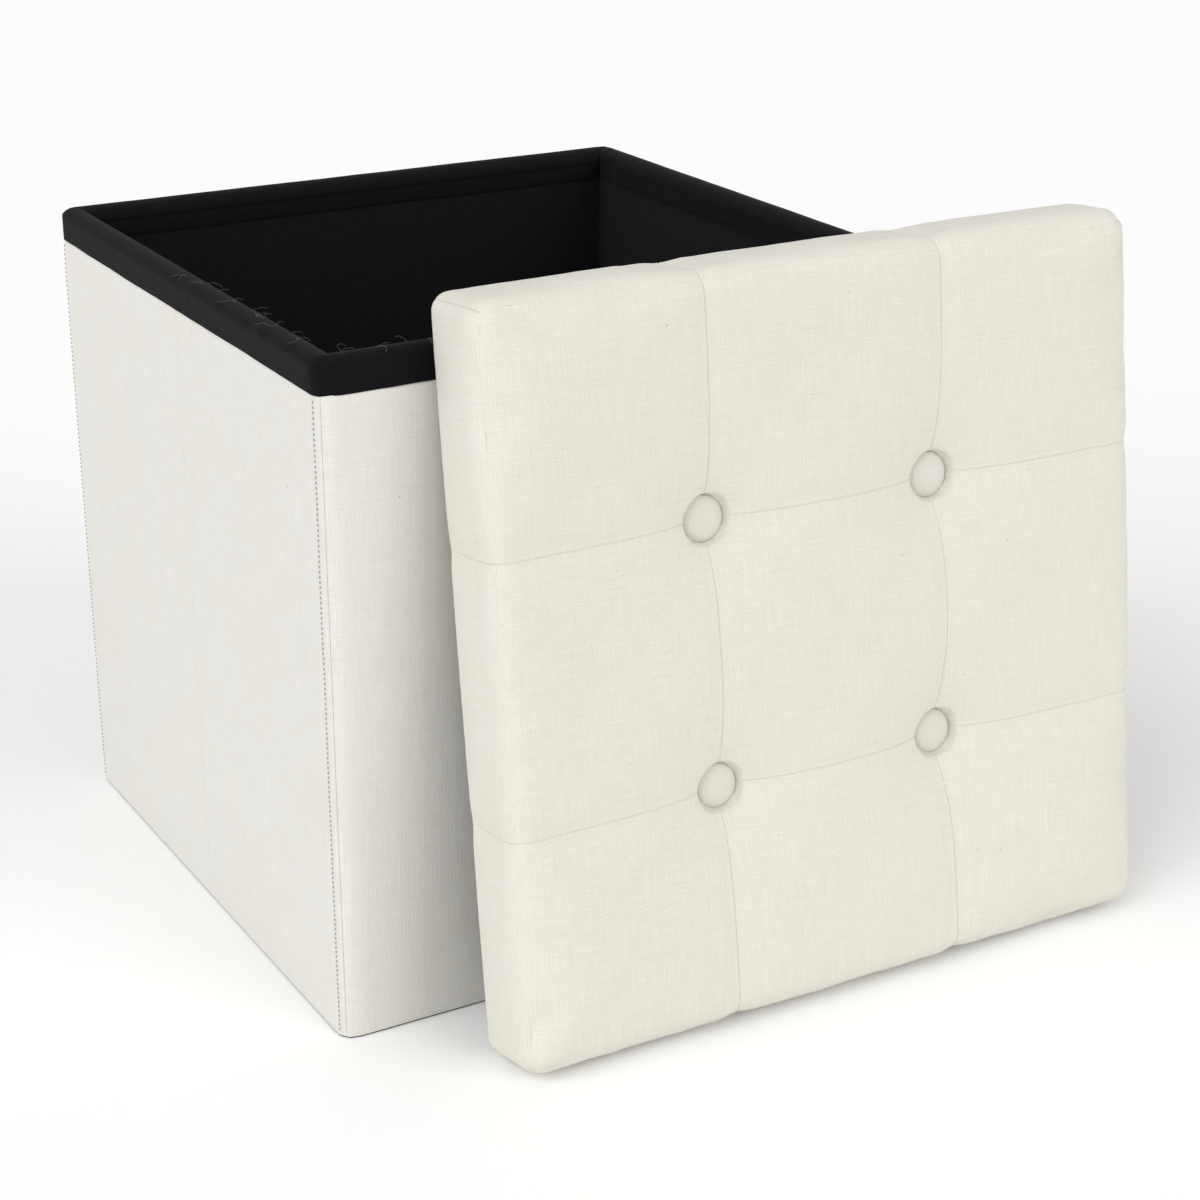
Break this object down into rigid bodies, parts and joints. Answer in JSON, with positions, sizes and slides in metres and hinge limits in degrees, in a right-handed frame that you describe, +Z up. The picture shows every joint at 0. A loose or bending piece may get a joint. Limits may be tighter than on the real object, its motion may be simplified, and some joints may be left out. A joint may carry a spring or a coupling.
{
  "type": "storage ottoman",
  "caption": "Cube storage ottoman of padded linen-covered walls that fold flat, with a button-tufted cushion lid leaning on its black-bound rim.",
  "frame": {"origin": "centre of the box's underside, on the floor", "axes": "+Z up, -Y the front wall on which the lid leans, +X to the right"},
  "size_m": [0.4395, 0.4502, 0.3839],
  "materials": {
    "linen": "plain-woven linen-look cloth, matt",
    "lid_linen": "plain-woven linen-look cloth, matt",
    "button_linen": "the same linen stretched over a domed cap",
    "seam": "folded seam allowance of the linen",
    "lining": "black bonded cloth with a faint diagonal rib, matt",
    "binding": "black cloth rolled over a cord, soft sheen",
    "hem": "black bonded cloth, matt",
    "board": "raw fibreboard",
    "padding": "white polyester wadding",
    "foam": "pale open-cell foam",
    "filler_cord": "soft twisted filler cord",
    "steel_wire": "galvanised staple wire",
    "steel_plate": "pressed tin",
    "twine": "waxed twine",
    "washer": "white plastic washer"
  },
  "bodies": {
    "front_wall": {"front_board": "board", "front_padding": "padding", "front_lining": "lining", "front_linen": "linen", "front_corner_seams": "seam", "front_rim": "binding", "front_hem": "hem"},
    "rear_wall": {"rear_board": "board", "rear_padding": "padding", "rear_lining": "lining", "rear_linen": "linen", "rear_corner_seams": "seam", "rear_rim": "binding", "rear_rim_cord": "filler_cord", "rear_hem": "hem"},
    "left_front_leaf": {"left_front_linen": "linen", "left_front_padding": "padding", "left_front_board": "board", "left_front_lining": "lining", "left_front_rim": "binding", "left_front_rim_cord": "filler_cord"},
    "left_rear_leaf": {"left_rear_linen": "linen", "left_rear_padding": "padding", "left_rear_board": "board", "left_rear_lining": "lining", "left_rear_rim": "binding", "left_rear_rim_cord": "filler_cord"},
    "right_front_leaf": {"right_front_linen": "linen", "right_front_padding": "padding", "right_front_board": "board", "right_front_lining": "lining", "right_front_rim": "binding", "right_front_rim_cord": "filler_cord"},
    "right_rear_leaf": {"right_rear_linen": "linen", "right_rear_padding": "padding", "right_rear_board": "board", "right_rear_lining": "lining", "right_rear_rim": "binding", "right_rear_rim_cord": "filler_cord"},
    "base_panel": {"base_underside_cloth": "hem", "base_board": "board", "base_lining": "lining"},
    "rim_roll": {"front_rim_cord": "filler_cord"},
    "lid": {"lid_cover": "lid_linen", "lid_foam": "foam", "lid_board": "board", "lid_dust_cloth": "hem", "lid_staples": "steel_wire", "button_caps": "button_linen", "button_backs": "steel_plate", "button_twine": "twine", "twine_washers": "washer"}
  },
  "joints": [
    {"name": "box_fold", "type": "hinge", "parent": "front_wall", "child": "left_front_leaf", "pos_m": [-0.166, -0.1619, 0], "axis": [0, 0, -1], "range_deg": [0, 90]},
    {"name": "left_crease", "type": "hinge", "parent": "left_front_leaf", "child": "left_rear_leaf", "pos_m": [-0.1804, 0, 0], "axis": [0, 0, 1], "range_deg": [0, 180]},
    {"name": "left_rear_corner", "type": "hinge", "parent": "left_rear_leaf", "child": "rear_wall", "pos_m": [-0.166, 0.1619, 0], "axis": [0, 0, -1], "range_deg": [0, 90]},
    {"name": "right_front_corner", "type": "hinge", "parent": "front_wall", "child": "right_front_leaf", "pos_m": [0.166, -0.1619, 0], "axis": [0, 0, 1], "range_deg": [0, 90]},
    {"name": "right_crease", "type": "hinge", "parent": "right_front_leaf", "child": "right_rear_leaf", "pos_m": [0.1804, 0, 0], "axis": [0, 0, -1], "range_deg": [0, 180]},
    {"name": "base_lift", "type": "hinge", "parent": "front_wall", "child": "base_panel", "pos_m": [0, -0.1656, 0.0028], "axis": [1, 0, 0], "range_deg": [0, 90]},
    {"name": "lid_turn", "type": "hinge", "parent": "front_wall", "child": "rim_roll", "pos_m": [0, -0.173, 0.349], "axis": [-1, 0, 0], "range_deg": [0, 82.9]},
    {"name": "lid_slide", "type": "slide", "parent": "rim_roll", "child": "lid", "axis": [-0.2007, 0.1211, 0.9721], "range_m": [0, 0.34135]}
  ],
  "couplings": [
    {"joint": "left_crease", "follows": "box_fold", "ratio": 2},
    {"joint": "left_rear_corner", "follows": "box_fold", "ratio": 1},
    {"joint": "right_front_corner", "follows": "box_fold", "ratio": 1},
    {"joint": "right_crease", "follows": "box_fold", "ratio": 2}
  ]
}
